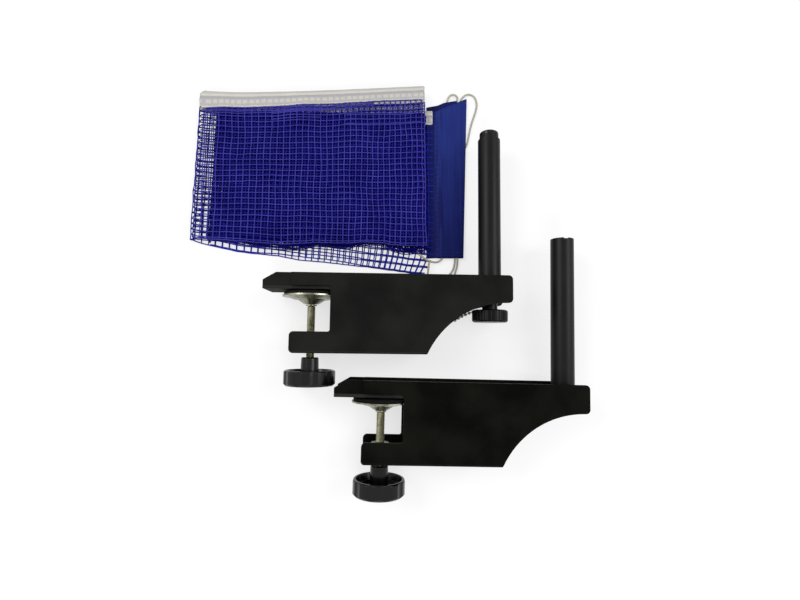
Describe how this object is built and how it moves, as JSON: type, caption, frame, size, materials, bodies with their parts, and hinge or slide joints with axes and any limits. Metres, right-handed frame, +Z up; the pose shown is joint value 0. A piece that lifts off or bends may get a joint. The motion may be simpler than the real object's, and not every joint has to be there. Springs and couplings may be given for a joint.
{
  "type": "table tennis net clamp set",
  "caption": "Table tennis net set laid flat: a plain and a tension clamp with screw knobs, swivel discs and posts, and a folded net with cloth sleeves and cords.",
  "frame": {"origin": "centre of the set's footprint, on the surface it lies on", "axes": "+Z up from the surface, +X along the clamps' arms away from the table edge, +Y along the posts towards their tops"},
  "size_m": [0.3899, 0.412, 0.055],
  "materials": {
    "black_paint": "satin black powder coat",
    "zinc": "bright zinc plate",
    "black_plastic": "moulded black plastic",
    "black_rubber": "matt",
    "grey_pad": "matt grey",
    "net_mesh": "open blue net",
    "net_band": "white folded tape",
    "sleeve_cloth": "blue woven cloth",
    "cord": "white braided cord"
  },
  "bodies": {
    "net_set": {"plain_bracket": "black_paint", "plain_jaw_channel": "black_paint", "plain_jaw_pad": "grey_pad", "plain_nut_plate": "black_paint", "plain_screw_nut": "zinc", "plain_post_saddle": "black_paint", "plain_post": "black_paint", "plain_post_plug": "black_plastic", "tension_bracket": "black_paint", "tension_jaw_channel": "black_paint", "tension_jaw_pad": "grey_pad", "tension_nut_plate": "black_paint", "tension_screw_nut": "zinc", "tension_post_saddle": "black_paint", "tension_post": "black_paint", "bead_chain": "zinc", "net_mesh": "net_mesh", "net_band": "net_band", "near_sleeve": "sleeve_cloth", "far_sleeve": "sleeve_cloth", "top_draw_cord": "cord", "top_short_cord": "cord", "mesh_draw_cord": "cord", "tie_cord": "cord", "loop_cord": "cord"},
    "plain_screw_end": {"plain_thrust_washer": "zinc"},
    "plain_screw": {"plain_clamp_screw": "zinc", "plain_screw_knob": "black_plastic"},
    "plain_disc": {"plain_pressure_disc": "zinc", "plain_disc_face": "black_rubber"},
    "tension_screw_end": {"tension_thrust_washer": "zinc"},
    "tension_screw": {"tension_clamp_screw": "zinc", "tension_screw_knob": "black_plastic"},
    "tension_disc": {"tension_pressure_disc": "zinc", "tension_disc_face": "black_rubber"},
    "raised_post": {"inner_post": "black_paint", "inner_post_cap": "black_plastic", "inner_post_nut": "zinc"},
    "tension_drive": {"tension_screw": "zinc", "tension_screw_clip": "zinc", "tension_knob": "black_plastic"}
  },
  "joints": [
    {"name": "plain_screw_slide", "type": "slide", "parent": "net_set", "child": "plain_screw_end", "axis": [0.0248, 0.999, 0.0385], "range_m": [-0.028, 0.0005]},
    {"name": "plain_screw_turn", "type": "hinge", "parent": "plain_screw_end", "child": "plain_screw", "pos_m": [0.00248, -0.16497, 0.02578], "axis": [0.0248, 0.999, 0.0385], "range_deg": [-8068, 148]},
    {"name": "plain_disc_tilt", "type": "hinge", "parent": "plain_screw_end", "child": "plain_disc", "pos_m": [0.0035, -0.12371, 0.02737], "axis": [-0.0326, 0.0393, -0.9987], "range_deg": [-2, 2]},
    {"name": "tension_screw_slide", "type": "slide", "parent": "net_set", "child": "tension_screw_end", "axis": [0.0115, 0.9992, 0.0385], "range_m": [-0.028, 0.0005]},
    {"name": "tension_screw_turn", "type": "hinge", "parent": "tension_screw_end", "child": "tension_screw", "pos_m": [-0.06437, -0.06575, 0.02578], "axis": [0.0115, 0.9992, 0.0385], "range_deg": [-8068, 148]},
    {"name": "tension_disc_tilt", "type": "hinge", "parent": "tension_screw_end", "child": "tension_disc", "pos_m": [-0.06389, -0.02448, 0.02737], "axis": [-0.0275, 0.0388, -0.9989], "range_deg": [-2, 2]},
    {"name": "tension_knob_turn", "type": "hinge", "parent": "net_set", "child": "tension_drive", "pos_m": [0.1087, -0.03758, 0.02211], "axis": [0.0115, 0.9992, 0.0385], "range_deg": [-5440, 1840]},
    {"name": "inner_post_slide", "type": "slide", "parent": "net_set", "child": "raised_post", "axis": [0.0115, 0.9992, 0.0385], "range_m": [-0.0051, 0.0151]}
  ],
  "couplings": [
    {"joint": "plain_screw_turn", "follows": "plain_screw_slide", "rad_per_m": 5026.5},
    {"joint": "tension_screw_turn", "follows": "tension_screw_slide", "rad_per_m": 5026.5},
    {"joint": "tension_knob_turn", "follows": "inner_post_slide", "rad_per_m": -6283.2}
  ]
}
